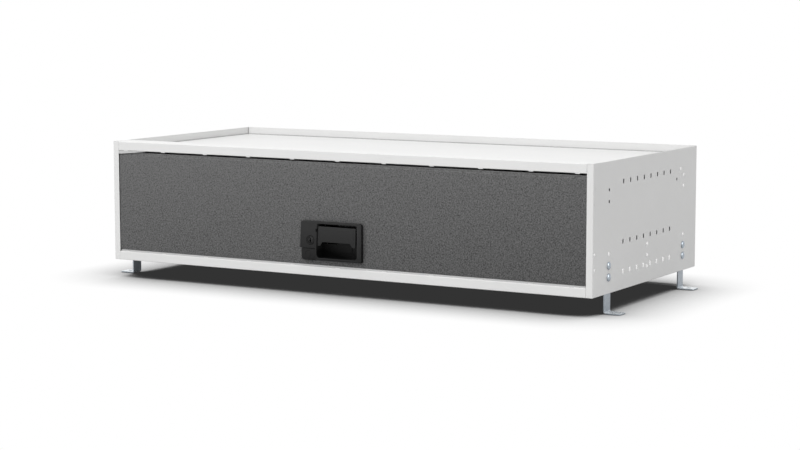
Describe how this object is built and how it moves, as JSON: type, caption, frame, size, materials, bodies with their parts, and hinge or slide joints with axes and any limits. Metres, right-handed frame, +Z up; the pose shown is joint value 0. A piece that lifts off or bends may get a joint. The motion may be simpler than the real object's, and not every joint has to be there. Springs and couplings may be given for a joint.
{
  "type": "van drawer unit",
  "caption": "Low steel van cabinet with a tray top, folded feet and a full-width latched drawer on telescopic slides.",
  "frame": {"origin": "middle of the footprint at the soles of the feet", "axes": "+X along the width to the right seen from the front, +Y to the rear, +Z up"},
  "size_m": [1.324, 0.5766, 0.324],
  "materials": {
    "white_coat": "satin powder coat",
    "zinc": "bright zinc plating",
    "bright_steel": "rolled steel",
    "grained_grey": "fine leather grain, matte",
    "black_plastic": "moulded, fine satin texture",
    "spring_steel": "drawn wire"
  },
  "bodies": {
    "carcass": {"side_panel_left": "white_coat", "side_panel_right": "white_coat", "tray_panel": "white_coat", "rear_panel": "white_coat", "front_top_rail": "white_coat", "front_bottom_rail": "white_coat", "strike_plate": "zinc", "slide_channel_left": "white_coat", "slide_cabinet_member_left": "bright_steel", "foot_front_left": "zinc", "cup_bolt_front_left_lower": "zinc", "nut_front_left_lower": "zinc", "cup_bolt_front_left_upper": "zinc", "nut_front_left_upper": "zinc", "foot_rear_left": "zinc", "cup_bolt_rear_left_lower": "zinc", "nut_rear_left_lower": "zinc", "cup_bolt_rear_left_upper": "zinc", "nut_rear_left_upper": "zinc", "slide_channel_right": "white_coat", "slide_cabinet_member_right": "bright_steel", "foot_front_right": "zinc", "cup_bolt_front_right_lower": "zinc", "nut_front_right_lower": "zinc", "cup_bolt_front_right_upper": "zinc", "nut_front_right_upper": "zinc", "foot_rear_right": "zinc", "cup_bolt_rear_right_lower": "zinc", "nut_rear_right_lower": "zinc", "cup_bolt_rear_right_upper": "zinc", "nut_rear_right_upper": "zinc"},
    "drawer": {"drawer_front": "grained_grey", "drawer_inner_front": "white_coat", "drawer_floor": "white_coat", "drawer_back": "white_coat", "latch_housing": "black_plastic", "paddle_pin": "zinc", "paddle_spring": "spring_steel", "pawl_bracket": "zinc", "pawl_pin": "zinc", "pawl_spring": "spring_steel", "lock_cylinder": "black_plastic", "drawer_side_left": "white_coat", "slide_drawer_member_left": "bright_steel", "drawer_screw_front_left": "zinc", "drawer_screw_rear_left": "zinc", "drawer_side_right": "white_coat", "slide_drawer_member_right": "bright_steel", "drawer_screw_front_right": "zinc", "drawer_screw_rear_right": "zinc"},
    "slide_middle_left": {"slide_middle_member_left": "bright_steel"},
    "outer_cage_left": {"ball_cage_outer_left": "zinc"},
    "inner_cage_left": {"ball_cage_inner_left": "zinc"},
    "slide_middle_right": {"slide_middle_member_right": "bright_steel"},
    "outer_cage_right": {"ball_cage_outer_right": "zinc"},
    "inner_cage_right": {"ball_cage_inner_right": "zinc"},
    "paddle": {"paddle": "black_plastic"},
    "latch_pawl": {"latch_pawl": "zinc"},
    "lock_plug": {"lock_plug": "black_plastic"}
  },
  "joints": [
    {"name": "drawer_slide", "type": "slide", "parent": "carcass", "child": "drawer", "axis": [0, -1, 0], "range_m": [0, 0.5]},
    {"name": "middle_member_slide_left", "type": "slide", "parent": "carcass", "child": "slide_middle_left", "axis": [0, -1, 0], "range_m": [0, 0.25]},
    {"name": "outer_cage_slide_left", "type": "slide", "parent": "carcass", "child": "outer_cage_left", "axis": [0, -1, 0], "range_m": [0, 0.125]},
    {"name": "inner_cage_slide_left", "type": "slide", "parent": "carcass", "child": "inner_cage_left", "axis": [0, -1, 0], "range_m": [0, 0.375]},
    {"name": "middle_member_slide_right", "type": "slide", "parent": "carcass", "child": "slide_middle_right", "axis": [0, -1, 0], "range_m": [0, 0.25]},
    {"name": "outer_cage_slide_right", "type": "slide", "parent": "carcass", "child": "outer_cage_right", "axis": [0, -1, 0], "range_m": [0, 0.125]},
    {"name": "inner_cage_slide_right", "type": "slide", "parent": "carcass", "child": "inner_cage_right", "axis": [0, -1, 0], "range_m": [0, 0.375]},
    {"name": "paddle_pull", "type": "hinge", "parent": "drawer", "child": "paddle", "pos_m": [0.0012, -0.28065, 0.15], "axis": [-1, 0, 0], "range_deg": [0, 25], "stiffness_Nm_per_rad": 0.3, "springref_deg": -5.73},
    {"name": "pawl_lift", "type": "hinge", "parent": "drawer", "child": "latch_pawl", "pos_m": [0.0012, -0.25165, 0.092], "axis": [1, 0, 0], "range_deg": [0, 41.25]},
    {"name": "lock_turn", "type": "hinge", "parent": "drawer", "child": "lock_plug", "pos_m": [-0.068, -0.28835, 0.123], "axis": [0, -1, 0], "range_deg": [0, 90]}
  ],
  "couplings": [
    {"joint": "middle_member_slide_left", "follows": "drawer_slide", "ratio": 0.5},
    {"joint": "outer_cage_slide_left", "follows": "drawer_slide", "ratio": 0.25},
    {"joint": "inner_cage_slide_left", "follows": "drawer_slide", "ratio": 0.75},
    {"joint": "middle_member_slide_right", "follows": "drawer_slide", "ratio": 0.5},
    {"joint": "outer_cage_slide_right", "follows": "drawer_slide", "ratio": 0.25},
    {"joint": "inner_cage_slide_right", "follows": "drawer_slide", "ratio": 0.75},
    {"joint": "pawl_lift", "follows": "paddle_pull", "ratio": 1.65}
  ]
}
